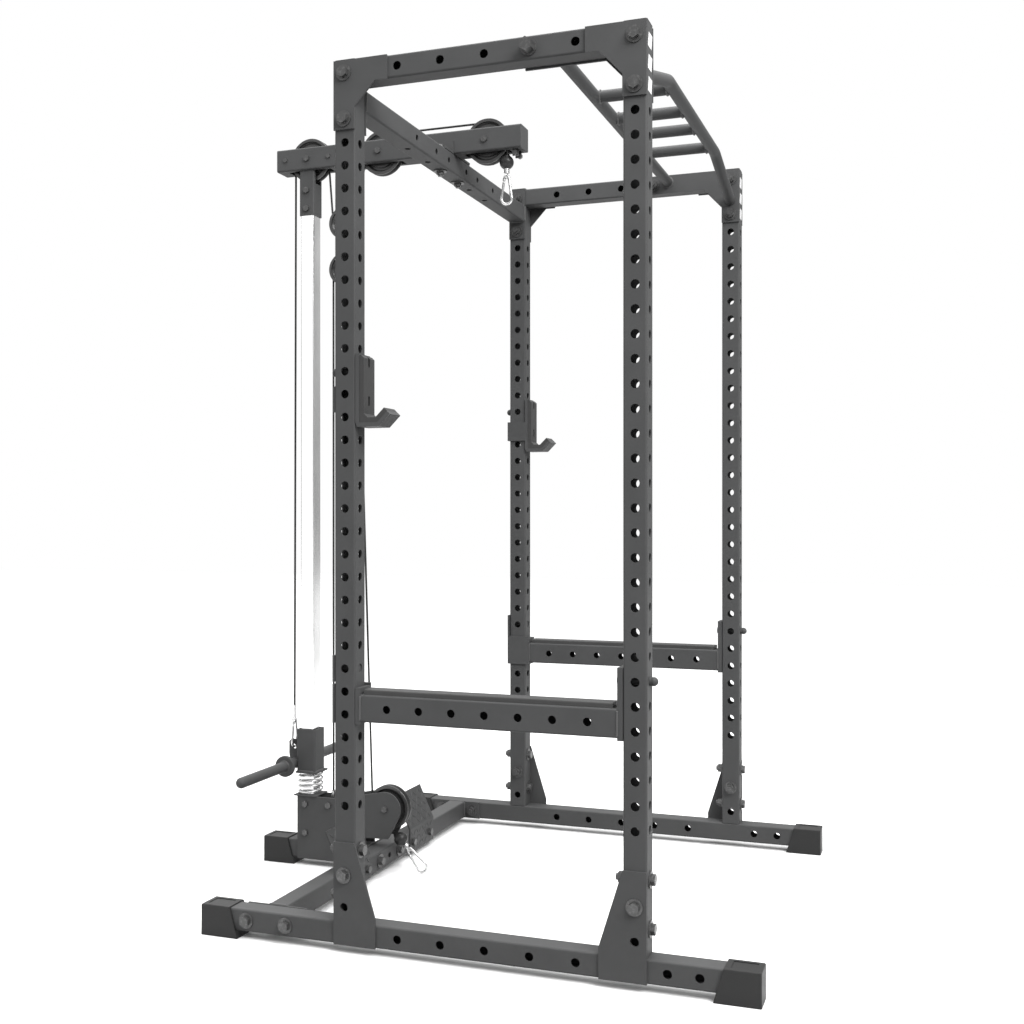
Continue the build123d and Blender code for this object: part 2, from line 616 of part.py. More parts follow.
def cable_anchor():
    """Eye round the cheek bolt, closed by a pressed ferrule."""
    y = s_to_y(ANCHOR_S)
    eye = rod("X", 11.0, -3, 3, y, ANCHOR_Z) - rod("X", AXLE_R, -5, 5, y, ANCHOR_Z)
    neck = box((-3, 3), (y - 3.5, y + 3.5), (ANCHOR_Z + 9, ANCHOR_Z + 20))
    ferrule = rod("Z", 5.5, ANCHOR_Z + 16, ANCHOR[1], 0, y)
    return eye + (neck - rod("X", 10.0, -5, 5, y, ANCHOR_Z)) + ferrule


# ---- snap hooks ---------------------------------------------------------------------
HOOK_WIRE, HOOK_NARROW, HOOK_WIDE, HOOK_LONG = 3.5, 6.5, 14.0, 73.0
HOOK_WIDE_Z = -(HOOK_LONG - HOOK_WIDE)
NARROW, WIDE = (0.0, -HOOK_NARROW), (0.0, HOOK_WIDE_Z)
GATE_SIDE = tangent(WIDE, HOOK_WIDE, 1, NARROW, HOOK_NARROW, 1)
SPINE_SIDE = tangent(NARROW, HOOK_NARROW, 1, WIDE, HOOK_WIDE, 1)


def on_gate(t):
    """Point along the gate side, 0 at the wide end and 1 at the narrow end."""
    p, q = GATE_SIDE
    return (p[0] + (q[0] - p[0]) * t, p[1] + (q[1] - p[1]) * t)


GATE_LOW, GATE_HIGH = 0.10, 0.86
GATE_R, GATE_GAP = 3.1, 0.5
GATE_TOP = on_gate(GATE_HIGH - (GATE_R + GATE_GAP) / HOOK_LONG * 1.4)


def snap_hook_body():
    """Pear-shaped link in the YZ plane, its narrow end's centre line at the origin."""
    return swept([
        Line(in_plane(on_gate(GATE_HIGH)), in_plane(GATE_SIDE[1])),
        arc_between(NARROW, GATE_SIDE[1], SPINE_SIDE[0], 1),
        Line(in_plane(SPINE_SIDE[0]), in_plane(SPINE_SIDE[1])),
        arc_between(WIDE, SPINE_SIDE[1], GATE_SIDE[0], 1),
        Line(in_plane(GATE_SIDE[0]), in_plane(on_gate(GATE_LOW)))], HOOK_WIRE)


def snap_hook_gate():
    """Gate rod; its round end turns about GATE_TOP."""
    rod_end = in_plane(GATE_TOP)
    return rod_between(GATE_R, in_plane(on_gate(GATE_LOW + 0.012)), rod_end) + Pos(
        *rod_end) * Sphere(GATE_R)


def link_ring():
    """Small eye through the narrow end, square to the snap hook."""
    ring = Rot(90, 0, 0) * Torus(6.6, 1.7)
    return ring


def hung(shapes, place):
    return [place * s for s in shapes]


LAT_HOOK = Pos(0, LAT_END[0], LAT_BALL_Z - 35.0)
LUG_HOOK = Pos(0, s_to_y(LUG_S), LUG_Z + HOOK_LONG) * Rot(0, 0, 90)
ROW_HOOK_LEAN = 42.0
ROW_HOOK = (Pos(0, s_to_y(ROW_BALL_S - 21.5), ROW_BALL_Z - 24.5)
            * Rot(-ROW_HOOK_LEAN, 0, 0))


def snap_hook(place, stem):
    """Body, link ring and the silver ferrule stem above it, as separate solids."""
    low, high, radius = stem
    ferrule = rod("Z", radius, low, high, 0, 0) - Rot(90, 0, 0) * Torus(6.6, 1.75)
    return hung([snap_hook_body(), link_ring(), ferrule], place)


def ball_stop():
    """Moulded ball with a short neck for the cable, its axis along Z."""
    radius, low, high, tip = 18.5, -16.5, 15.2, 23.0
    ball = Sphere(radius) & box((-radius, radius), (-radius, radius), (low, high))
    shoulder = math.sqrt(radius ** 2 - high ** 2)
    neck = Cone(shoulder, 5.2, tip - high, align=(Align.CENTER, Align.CENTER, Align.MIN))
    return ball + Pos(0, 0, high) * neck


ROW_BALL_PLACE = Pos(0, ROW_BALL[0], ROW_BALL[1]) * Rot(-(90 + ROW_AIM), 0, 0)


# ---- weight carriage ------------------------------------------------------------------
def weight_carriage():
    low, high, half = CARRIAGE_LOW, CARRIAGE_HIGH, SLEEVE_HALF
    sleeve = Pos(0, COLUMN_Y, low) * square_tube(
        high - low, width=2 * half, depth=2 * half, wall=4, corner=5)
    flange = box((-34, 34), (COLUMN_Y - 34, COLUMN_Y + half), (low, low + 5))
    flange -= Pos(0, COLUMN_Y, low - 2) * extrude(RectangleRounded(48, 48, 1), 10)
    y = COLUMN_Y + half
    lug = profile_x([(y - 1, HORN_Z + 3), (y + 33, HORN_Z + 3), (y + 37, 296.0),
                     (y + 37, 330.0), (y + 31, 336.0), (y - 1, 336.0)], -4, 4)
    lug -= rod("X", HORN_R, -10, 10, y + HORN_R, HORN_Z)
    lug -= rod("X", 7.0, -10, 10, s_to_y(LUG_S), LUG_Z)
    lug -= box((-10, 10), (COLUMN_Y, y - 2), (200, 400))
    return sleeve + flange + lug


def weight_horns():
    """One bar welded across the back of the carriage, with a plate stop on each side."""
    y = COLUMN_Y + SLEEVE_HALF + HORN_R
    end = HORN_END - HORN_R
    bar = rod("X", HORN_R, -end, end, y, HORN_Z)
    for side, _ in SIDES:
        bar += Pos(side * end, y, HORN_Z) * Sphere(HORN_R)
        x0, x1 = sorted([side * COLLAR_X, side * (COLLAR_X - COLLAR_THICK)])
        bar += fillet(rod("X", COLLAR_R, x0, x1, y, HORN_Z).edges(), 2.0)
    return bar


def carriage_glides():
    glides = []
    for low in (CARRIAGE_LOW + 3, CARRIAGE_HIGH - 33):
        ring = Pos(0, COLUMN_Y, low) * extrude(
            RectangleRounded(48, 48, 1) - RectangleRounded(COLUMN + 0.7, COLUMN + 0.7, 3.85), 30)
        glides.append(ring)
    return glides


# ---- bar rests and safety bars ----------------------------------------------------------

def nose_pin(y0, y1, x, z):
    """Locating pin through the upright with a rounded nose at y1."""
    low, high = sorted([y0, y1])
    return rod("Y", PIN_R, low, high, x, z) + Pos(x, y1, z) * Sphere(9.3)


def j_hook():
    """Bent cradle on the bay side of a rear upright, its pin through the tube."""
    face = REAR_Y - HALF - GAP
    back, floor, lip = face - HOOK_STEEL, HOOK_FLOOR, face - HOOK_REACH
    step = HOOK_STEEL / math.sqrt(2)
    outline = [(face, HOOK_TOP), (face, 1158), (face - 4, floor), (lip + HOOK_LIP, floor),
               (lip, floor + HOOK_LIP), (lip + step, floor + HOOK_LIP + step),
               (lip + HOOK_LIP + 2 * step - HOOK_STEEL, floor + HOOK_STEEL),
               (back, floor + HOOK_STEEL), (back, HOOK_TOP)]
    wrap_in = INNER_X - GAP
    body = profile_x(outline, wrap_in - 5, OUTER_X)
    body += box((wrap_in - 5, wrap_in), (back, REAR_Y + HALF + GAP + 5), (1181, 1238))
    body += box((wrap_in - 5, OUTER_X - 3),
                (REAR_Y + HALF + GAP, REAR_Y + HALF + GAP + 5), (1181, 1238))
    return body + nose_pin(face - 2, REAR_Y + HALF + 8, SIDE_X, HOOK_PIN_Z)


def j_hook_pad():
    """Plastic liner: back, floor and lip, with two screw wells."""
    face = REAR_Y - HALF - GAP
    back, lip = face - HOOK_STEEL, face - HOOK_REACH
    front = back - HOOK_LINER
    low = HOOK_FLOOR + HOOK_STEEL
    high = low + HOOK_LINER
    steel = HOOK_STEEL / math.sqrt(2)
    liner = steel + HOOK_LINER / math.sqrt(2)
    tip = HOOK_FLOOR + HOOK_LIP
    outline = [(back, HOOK_TOP - 3), (back, low), (lip + HOOK_LIP + 2 * steel - HOOK_STEEL, low),
               (lip + steel, tip + steel), (lip + liner, tip + liner),
               (lip + tip + 2 * liner - high, high), (front - 9, high), (front, high + 9),
               (front, HOOK_TOP - 9), (front + 6, HOOK_TOP - 3)]
    low_x, high_x = INNER_X - GAP - 4, OUTER_X - 1
    pad = profile_x(outline, low_x, high_x)
    middle_x, slot_r = (low_x + high_x) / 2, 4.5
    for z in (1205.0, 1290.0):
        pad -= box((middle_x - slot_r, middle_x + slot_r), (front - 10, front + 6), (z - 7, z + 7))
        for end_z in (z - 7, z + 7):
            pad -= rod("Y", slot_r, front - 10, front + 6, middle_x, end_z)
    return pad


def safety_bar():
    """Box bar with an end plate in front and a wrap-round end at the rear upright."""
    front, rear = FRONT_Y + HALF + GAP, REAR_Y - HALF - GAP
    plate = 11.6
    middle_z = (BAR_LOW + BAR_HIGH) / 2
    bar = Pos(SIDE_X, front + plate, middle_z) * Rot(-90, 0, 0) * square_tube(
        rear - front - 2 * plate, width=TUBE, depth=BAR_HIGH - BAR_LOW)
    for i in range(-3, 4):
        bar -= rod("X", 9.0, SIDE_X - 40, SIDE_X + 40, MID_Y + 75.0 * i, middle_z)
    x = (INNER_X, OUTER_X)
    end = box(x, (front, front + plate), (500, 648)) + nose_pin(
        front + plate + 5, FRONT_Y - HALF - 8, SIDE_X, SAFETY_PIN_Z)
    inner = INNER_X - GAP
    outer_y = REAR_Y + HALF + GAP
    wrap = box((inner - 5, OUTER_X), (rear - plate, rear), (500, 579))
    wrap += box((inner - 5, inner), (rear - plate, outer_y + 5), (500, 585))
    wrap += box((inner - 5, OUTER_X), (outer_y, outer_y + 5), (500, 648))
    wrap -= box((SIDE_X + 5, OUTER_X + 5), (outer_y - 2, outer_y + 8), (585, 590))
    wrap += rod("Y", PIN_R, rear + 3, outer_y + 2, SIDE_X, SAFETY_PIN_Z)
    return bar + end + wrap


def safety_pad():
    front, rear = FRONT_Y + HALF + GAP + 11.6, REAR_Y - HALF - GAP - 11.6
    strip = box((SIDE_X - 21, SIDE_X + 21), (front + 10, rear - 8), (BAR_HIGH, 576))
    return fillet(strip.edges().filter_by(Axis.Y).group_by(Axis.Z)[-1], 4.0)


# ---- the assembly -----------------------------------------------------------------------
def build_parts():
    parts = {}
    for y, _, end_name in ENDS:
        for side, side_name in SIDES:
            parts["upright_" + end_name + "_" + side_name] = upright(side * SIDE_X, y)
    for side, side_name in SIDES:
        parts["base_rail_" + side_name] = base_rail(side * SIDE_X)
        parts["top_beam_" + side_name] = top_beam(side * SIDE_X)
    parts["foot_caps"] = foot_caps()
    parts["tube_end_plugs"] = end_plugs()
    parts["corner_plates"] = corner_plates()
    parts["foot_gussets"] = foot_gussets()
    parts["rear_top_crossmember"] = rear_top_crossmember()
    parts["floor_crossmember"] = floor_crossmember()
    parts["multi_grip_bar"] = grip_rails() + grip_rungs()
    parts["grip_side_plates"] = grip_side_plates()
    parts["frame_bolts"] = frame_bolts()
    parts["lat_arm"] = lat_arm()
    parts["guide_column"] = guide_column()
    parts["column_sleeve"] = column_sleeve()
    parts["buffer_spring"] = buffer_spring()
    parts["tower_base"] = tower_base()
    parts["tower_side_plates"] = tower_side_plates()
    parts["tower_bolts"] = tower_bolts()
    parts["foot_plates"] = foot_plates()
    parts["cable_stop"] = cable_stop()
    parts["cable_anchor"] = cable_anchor()

    parts["wheel_front"] = wheel(FRONT_WHEEL_S, AXLE_Z)
    parts["wheel_middle"] = wheel(MID_WHEEL_S, AXLE_Z)
    parts["wheel_rear"] = wheel(REAR_WHEEL_S, AXLE_Z)
    parts["wheel_float_high"] = wheel(FLOAT_S, FLOAT_HIGH_Z, FLOAT_R, FLOAT_RUN)
    parts["wheel_float_low"] = wheel(FLOAT_S, FLOAT_LOW_Z, FLOAT_R, FLOAT_RUN)
    parts["wheel_low"] = wheel(LOW_WHEEL_S, LOW_WHEEL_Z)
    parts["float_block"] = float_block()

    parts["cable_fixed_turns"] = cable_fixed_turns()
    parts["cable_block_turns"] = cable_block_turns()
    parts["cable_carriage_run"] = cable_run(CARRIAGE_RUN)
    parts["cable_lat_run"] = cable_run(LAT_RUN)
    parts["cable_block_high_runs"] = [cable_run(BLOCK_IN), cable_run(BLOCK_OUT)]
    parts["cable_block_low_runs"] = [cable_run(ANCHOR_RUN), cable_run(DOWN_RUN)]
    parts["cable_row_run"] = cable_run(ROW_RUN, shorten=23.0)

    parts["weight_carriage"] = weight_carriage()
    parts["weight_horns"] = weight_horns()
    parts["carriage_glides"] = carriage_glides()
    parts["snap_hook_carriage"] = snap_hook(LUG_HOOK, (7.0, 430.0 - LUG_Z - HOOK_LONG, 4.5))
    parts["gate_carriage"] = hung([snap_hook_gate()], LUG_HOOK)
    parts["ball_stop_lat"] = Pos(0, LAT_END[0], LAT_BALL_Z) * ball_stop()
    parts["snap_hook_lat"] = snap_hook(LAT_HOOK, (7.0, 35.0 - 16.5, 7.5))
    parts["gate_lat"] = hung([snap_hook_gate()], LAT_HOOK)
    parts["ball_stop_row"] = ROW_BALL_PLACE * ball_stop()
    parts["snap_hook_row"] = snap_hook(ROW_HOOK, (7.0, 13.6, 8.0))
    parts["gate_row"] = hung([snap_hook_gate()], ROW_HOOK)

    for side, side_name in SIDES:
        shapes = {"j_hook_": j_hook(), "j_hook_pad_": j_hook_pad(),
                  "safety_bar_": safety_bar(), "safety_pad_": safety_pad()}
        for name, shape in shapes.items():
            parts[name + side_name] = shape if side > 0 else mirrored(shape)
    return parts


def write(name, shape):
    solids = []
    for piece in shape if isinstance(shape, list) else [shape]:
        solids += list(piece.solids())
    export_step(Compound(label=name, children=solids), "parts/" + name + ".step")


if __name__ == "__main__":
    os.makedirs("parts", exist_ok=True)
    for part_name, part_shape in build_parts().items():
        write(part_name, part_shape)
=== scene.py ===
# Power cage with a cable tower: finishes, seams and small parts around the fixed frame.
# Metres, +Z up, -Y the front with the pull-up bars, +Y the rear with the tower.
import math
import random

import bmesh
import bpy
from mathutils import Matrix, Vector


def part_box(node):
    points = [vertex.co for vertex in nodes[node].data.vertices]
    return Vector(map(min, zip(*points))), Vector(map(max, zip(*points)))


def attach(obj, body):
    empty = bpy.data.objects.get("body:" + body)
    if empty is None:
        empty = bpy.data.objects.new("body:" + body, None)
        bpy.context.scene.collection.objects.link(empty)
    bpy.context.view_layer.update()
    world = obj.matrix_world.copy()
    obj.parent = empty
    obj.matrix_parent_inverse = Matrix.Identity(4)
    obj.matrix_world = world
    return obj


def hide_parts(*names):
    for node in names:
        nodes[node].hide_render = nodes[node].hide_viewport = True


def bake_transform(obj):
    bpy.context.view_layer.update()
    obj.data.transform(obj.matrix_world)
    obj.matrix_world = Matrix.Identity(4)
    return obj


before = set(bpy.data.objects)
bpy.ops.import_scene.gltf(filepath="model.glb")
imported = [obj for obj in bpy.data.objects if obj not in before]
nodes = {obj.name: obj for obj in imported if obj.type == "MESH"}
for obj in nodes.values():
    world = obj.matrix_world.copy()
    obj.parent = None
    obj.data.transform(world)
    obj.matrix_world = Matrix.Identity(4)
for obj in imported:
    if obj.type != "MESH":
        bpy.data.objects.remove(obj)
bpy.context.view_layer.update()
dice = random.Random(11)


# ---- places worked out from the frame ------------------------------------------
def middle(node):
    low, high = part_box(node)
    return Vector([(a + b) / 2 for a, b in zip(low, high)])


def span(node):
    low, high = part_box(node)
    return Vector([b - a for a, b in zip(low, high)])


WHEELS = ["wheel_front", "wheel_middle", "wheel_rear", "wheel_float_high",
          "wheel_float_low", "wheel_low"]
HUB = {name: middle(name) for name in WHEELS}
CABLE_R = 0.0027
BIG_RUN, SMALL_RUN = 0.0505, 0.036
RUN = {name: SMALL_RUN if "float" in name else BIG_RUN for name in WHEELS}
UPRIGHT = middle("upright_front_right")
TUBE = 0.050
HALF = TUBE / 2
PLATE = 0.005
SIDE_X = UPRIGHT.x
INNER_X = SIDE_X - HALF
OUTER_X = SIDE_X + HALF
FRONT_Y = UPRIGHT.y
REAR_Y = middle("upright_rear_right").y
TOP_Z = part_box("upright_front_right")[1][2]
RAIL_Z = middle("base_rail_right").z
COLUMN_Y = middle("guide_column").y
CROSS_Y = middle("floor_crossmember").y


# ---- shader maths -----------------------------------------------------------------
class Field:
    """A number that varies over a surface; Python operators add the Math nodes."""

    def __init__(self, finish, socket):
        self.finish = finish
        self.socket = socket

    def math(self, operation, other=0.0, swap=False):
        pair = [other, self] if swap else [self, other]
        return self.finish.add("Math", {"operation": operation}, {0: pair[0], 1: pair[1]})

    def __add__(self, other):
        return self.math("ADD", other)

    __radd__ = __add__

    def __sub__(self, other):
        return self.math("SUBTRACT", other)

    def __rsub__(self, other):
        return self.math("SUBTRACT", other, swap=True)

    def __mul__(self, other):
        return self.math("MULTIPLY", other)

    __rmul__ = __mul__

    def above(self, level):
        return self.math("GREATER_THAN", level)

    def power(self, exponent):
        return self.math("POWER", exponent)


class Finish:
    """One surface finish: a Principled shader with whatever varies wired into it."""

    def __init__(self, name, **fixed):
        self.material = bpy.data.materials.new(name)
        self.material.use_nodes = True
        self.tree = self.material.node_tree
        self.shader = self.tree.nodes["Principled BSDF"]
        for socket, value in fixed.items():
            self.shader.inputs[socket.replace("_", " ")].default_value = value
        self.place = None

    def add(self, kind, settings=None, sockets=None, out=0):
        node = self.tree.nodes.new("ShaderNode" + kind)
        for key, value in (settings or {}).items():
            if key == "stops":
                self.set_stops(node.color_ramp, value)
            else:
                setattr(node, key, value)
        for key, value in (sockets or {}).items():
            if isinstance(value, Field):
                self.tree.links.new(value.socket, node.inputs[key])
            else:
                node.inputs[key].default_value = value
        return Field(self, node.outputs[out])

    def set_stops(self, ramp, stops):
        ramp.elements[0].position, ramp.elements[0].color = stops[0]
        ramp.elements[1].position, ramp.elements[1].color = stops[-1]
        for position, color in stops[1:-1]:
            ramp.elements.new(position).color = color

    def position(self):
        if self.place is None:
            self.place = self.add("TexCoord", out=3)
        return self.place

    def stretched(self, x, y, z):
        """Object position scaled per axis, for grain that runs along a part."""
        return self.add("VectorMath", {"operation": "MULTIPLY"},
                        {0: self.position(), 1: (x, y, z)})

    def noise(self, scale, detail=3.0, where=None, roughness=0.5):
        return self.add("TexNoise", None, {
            "Vector": where or self.position(), "Scale": scale,
            "Detail": detail, "Roughness": roughness})

    def cells(self, scale, where=None):
        return self.add("TexVoronoi", {"feature": "F1"}, {
            "Vector": where or self.position(), "Scale": scale})

    def eased(self, value, low, high, to_low=0.0, to_high=1.0):
        return self.add("MapRange", {"interpolation_type": "SMOOTHSTEP"}, {
            "Value": value, "From Min": low, "From Max": high,
            "To Min": to_low, "To Max": to_high})

    def blend(self, factor, first, second):
        node_settings = {"data_type": "RGBA"}
        return self.add("Mix", node_settings, {0: factor, 6: first, 7: second}, out=2)

    def height(self):
        return self.add("SeparateXYZ", None, {0: self.position()}, out=2)

    def feed(self, socket, value):
        self.tree.links.new(value.socket, self.shader.inputs[socket])

    def bump(self, height, distance, strength=1.0):
        self.feed("Normal", self.add("Bump", None, {
            "Height": height, "Distance": distance, "Strength": strength}))


def grey(value, warm=0.0):
    return (value * (1 + warm), value, value * (1 - warm), 1.0)


# ---- finishes ----------------------------------------------------------------------
def powder_coat(name="powder_coat", tone=0.063, sheen=0.5):
    """Matt charcoal powder coat: fine texture, faint mottling, dust low down."""
    coat = Finish(name, IOR=1.5, Specular_IOR_Level=0.22)
    mottled = coat.noise(9.0, 4.0)
    grain = coat.noise(900.0, 2.0)
    dusty = coat.eased(coat.height(), 0.30, 0.0, 0.0, 0.12) * coat.noise(45.0, 4.0)
    base = coat.blend(coat.eased(mottled, 0.3, 0.7), grey(tone * 0.93, -0.01), grey(tone * 1.07, -0.01))
    flecked = coat.blend(coat.eased(grain, 0.62, 0.8, 0.0, 0.35), base, grey(tone * 1.5))
    coat.feed("Base Color", coat.blend(dusty, flecked, grey(0.13, 0.02)))
    coat.feed("Roughness", sheen + 0.10 * mottled + 0.08 * grain)
    coat.bump(grain + 0.35 * coat.noise(2300.0, 1.0), 0.00016, 0.55)
    return coat.material


def black_oxide():
    steel = Finish("black_oxide", Metallic=0.5, IOR=1.5)
    worn = steel.noise(160.0, 5.0)
    steel.feed("Base Color", steel.blend(steel.eased(worn, 0.45, 0.75), grey(0.075), grey(0.125)))
    steel.feed("Roughness", 0.30 + 0.18 * worn)
    steel.bump(steel.noise(1500.0, 2.0), 0.0001, 0.4)
    return steel.material


def chrome():
    """Bright plating with faint draw lines down the column and rub marks across."""
    plate = Finish("bright_chrome", Metallic=1.0)
    draw = plate.noise(1.0, 3.0, plate.stretched(1400.0, 1400.0, 3.0))
    smears = plate.noise(14.0, 4.0, plate.stretched(1.0, 1.0, 0.35))
    plate.feed("Base Color", plate.blend(plate.eased(smears, 0.35, 0.7), grey(0.86), grey(0.78)))
    plate.feed("Roughness", 0.13 + 0.10 * plate.eased(smears, 0.3, 0.75) + 0.05 * draw)
    plate.bump(draw, 0.00002, 0.35)
    return plate.material


def zinc():
    plate = Finish("bright_zinc", Metallic=1.0)
    spangle = plate.cells(260.0)
    worn = plate.noise(60.0, 4.0)
    plate.feed("Base Color", plate.blend(spangle, grey(0.62), grey(0.48)))
    plate.feed("Roughness", 0.18 + 0.16 * worn + 0.05 * spangle)
    plate.bump(plate.noise(700.0, 2.0), 0.00006, 0.3)
    return plate.material


def moulded_plastic(name, tone, rough, grain_size=1100.0):
    """Moulded plastic with a spark-eroded grain."""
    plastic = Finish(name, IOR=1.46, Specular_IOR_Level=0.3)
    grain = plastic.cells(grain_size)
    cloudy = plastic.noise(22.0, 3.0)
    plastic.feed("Base Color", plastic.blend(cloudy, grey(tone * 0.85), grey(tone * 1.2)))
    plastic.feed("Roughness", rough + 0.12 * cloudy + 0.08 * grain)
    plastic.bump(grain, 0.00012, 0.45)
    return plastic.material


def wheel_nylon():
    """Black nylon wheels with a satin face."""
    nylon = Finish("wheel_nylon", IOR=1.53)
    cloudy = nylon.noise(30.0, 3.0)
    marks = nylon.noise(400.0, 2.0)
    nylon.feed("Base Color", nylon.blend(cloudy, grey(0.026), grey(0.042)))
    nylon.feed("Roughness", 0.22 + 0.14 * marks)
    nylon.bump(marks, 0.0001, 0.35)
    return nylon.material


def cable_jacket():
    """Black coated wire rope: the strands show faintly through the coating."""
    jacket = Finish("cable_jacket", IOR=1.4)
    lay = jacket.noise(1.0, 2.0, jacket.stretched(420.0, 420.0, 260.0))
    jacket.feed("Base Color", jacket.blend(lay, grey(0.006), grey(0.014)))
    jacket.feed("Roughness", 0.45 + 0.2 * lay)
    jacket.bump(lay, 0.00025, 0.5)
    return jacket.material


def weld_bead():
    bead = Finish("weld_under_coat", IOR=1.5)
    grain = bead.noise(700.0, 3.0)
    bead.feed("Base Color", bead.blend(grain, grey(0.055), grey(0.085)))
    bead.feed("Roughness", 0.46 + 0.15 * grain)
    bead.bump(grain, 0.0003, 0.5)
    return bead.material


def badge_white():
    paint = Finish("badge_paint", IOR=1.45)
    cloudy = paint.noise(80.0, 3.0)
    paint.feed("Base Color", paint.blend(cloudy, grey(0.70), grey(0.82)))
    paint.feed("Roughness", 0.42 + 0.1 * cloudy)
    paint.bump(paint.noise(1500.0, 2.0), 0.00005, 0.4)
    return paint.material


coat = powder_coat()
tread_coat = powder_coat("tread_coat", 0.050, 0.40)
oxide = black_oxide()
bright = chrome()
galvanised = zinc()
cap_plastic = moulded_plastic("cap_plastic", 0.020, 0.42)
liner_plastic = moulded_plastic("liner_plastic", 0.040, 0.40, 1500.0)
ball_plastic = moulded_plastic("ball_plastic", 0.022, 0.24, 1900.0)
nylon = wheel_nylon()
jacket = cable_jacket()
bead_coat = weld_bead()
badge_paint = badge_white()

FINISH_OF = {
    coat: ["upright", "base_rail", "top_beam", "corner_plates", "foot_gussets", "rear_top",
           "floor_cross", "multi_grip", "grip_side", "lat_arm", "column_sleeve", "tower_base",
           "tower_side", "float_block", "weight_carriage", "weight_horns", "j_hook_left",
           "j_hook_right", "safety_bar"],
    tread_coat: ["foot_plates"],
    oxide: ["frame_bolts", "tower_bolts", "cable_stop"],
    bright: ["guide_column"],
    galvanised: ["buffer_spring", "snap_hook", "gate", "cable_anchor"],
    cap_plastic: ["foot_caps", "tube_end_plugs", "carriage_glides"],
    liner_plastic: ["j_hook_pad", "safety_pad"],
    ball_plastic: ["ball_stop"],
    nylon: ["wheel"],
    jacket: ["cable_"],
}


def finish_for(node):
    best = None
    for material, stems in FINISH_OF.items():
        for stem in stems:
            if node.startswith(stem) and (best is None or len(stem) > best[0]):
                best = (len(stem), material)
    return best[1]


for name, node in nodes.items():
    node.data.materials.clear()
    node.data.materials.append(finish_for(name))


# ---- eased edges on plates, heads and plastic --------------------------------------
EASED = {
    "foot_caps": 0.0012, "tube_end_plugs": 0.0010, "corner_plates": 0.0008,
    "foot_gussets": 0.0008, "grip_side_plates": 0.0008, "frame_bolts": 0.0009,
    "tower_bolts": 0.0008, "tower_side_plates": 0.0008, "foot_plates": 0.0008,
    "float_block": 0.0006, "weight_carriage": 0.0009, "lat_arm": 0.0005,
    "j_hook_left": 0.0011, "j_hook_right": 0.0011, "j_hook_pad_left": 0.0012,
    "j_hook_pad_right": 0.0012, "safety_bar_left": 0.0008, "safety_bar_right": 0.0008,
    "cable_stop": 0.0005,
}
for name, width in EASED.items():
    bevel = nodes[name].modifiers.new("eased_edges", "BEVEL")
    bevel.width = width
    bevel.segments = 2
    bevel.limit_method = "ANGLE"
    bevel.angle_limit = math.radians(38)
    bevel.use_clamp_overlap = True
    bevel.harden_normals = False


# ---- mesh helpers --------------------------------------------------------------------
def add_mesh(name, shape, material, body, smooth=True):
    """Turns a bmesh into a piece that rides on a body."""
    mesh = bpy.data.meshes.new(name)
    shape.to_mesh(mesh)
    shape.free()
    mesh.materials.append(material)
    for face in mesh.polygons:
        face.use_smooth = smooth
    piece = bpy.data.objects.new(name, mesh)
    bpy.context.scene.collection.objects.link(piece)
    if body:
        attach(piece, body)
    return piece


def tube_along(shape, points, radius, sides=12, closed=False, wobble=0.0):
    """Sweeps a round section along points; wobble makes weld ripples."""
    rings = []
    count = len(points)
    for i, point in enumerate(points):
        before = points[(i - 1) % count] if closed or i else point
        after = points[(i + 1) % count] if closed or i < count - 1 else point
        along = (after - before).normalized()
        side = along.cross(Vector((0.31, 0.17, 0.93))).normalized()
        up = side.cross(along)
        r = radius * (1 + wobble * (0.6 * (i % 2) + 0.4 * dice.random()))
        ring = []
        for k in range(sides):
            angle = 2 * math.pi * k / sides
            ring.append(shape.verts.new(point + r * (math.cos(angle) * side + math.sin(angle) * up)))
        rings.append(ring)
    pairs = list(zip(rings, rings[1:]))
    if closed:
        pairs.append((rings[-1], rings[0]))
    for a, b in pairs:
        for k in range(sides):
            n = (k + 1) % sides
            shape.faces.new((a[k], a[n], b[n], b[k]))
    if not closed:
        shape.faces.new(list(reversed(rings[0])))
        shape.faces.new(rings[-1])


def spread(start, end, spacing):
    """Evenly spaced points from start to end."""
    length = (end - start).length
    steps = max(2, round(length / spacing))
    return [start.lerp(end, i / steps) for i in range(steps + 1)]


def ring_points(centre, axis, radius, spacing):
    """Points round a circle about a row axis, 0, 1 or 2."""
    steps = max(12, round(2 * math.pi * radius / spacing))
    points = []
    for i in range(steps):
        angle = 2 * math.pi * i / steps
        offset = [radius * math.cos(angle), radius * math.sin(angle)]
        offset.insert(axis, 0.0)
        points.append(centre + Vector(offset))
    return points


# ---- straight cable runs between the wheels --------------------------------------------
def touch(c1, r1, side1, c2, r2, side2):
    """Straight run between two circles in the YZ plane; side +1 has the circle on its left."""
    dy, dz = c2[0] - c1[0], c2[1] - c1[1]
    length = math.hypot(dy, dz)
    along = (side2 * r2 - side1 * r1) / length
    across = math.sqrt(1 - along * along)
    ny = (along * dy - across * dz) / length
    nz = (along * dz + across * dy) / length
    first = Vector((0, c1[0] - side1 * r1 * ny, c1[1] - side1 * r1 * nz))
    second = Vector((0, c2[0] - side2 * r2 * ny, c2[1] - side2 * r2 * nz))
    return first, second


def hub(name):
    return (HUB[name].y, HUB[name].z)


def stretching_run(name, node, ends, kept=0.0):
    """A straight cable run between two ends; with kept set, its rings sit closer together."""
    shape = bmesh.new()
    tube_along(shape, spread(ends[0], ends[1], 0.02 if kept == 0 else 0.005), CABLE_R, 14)
    piece = add_mesh(name, shape, jacket, None)
    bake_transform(piece)
    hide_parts(node)
    return piece


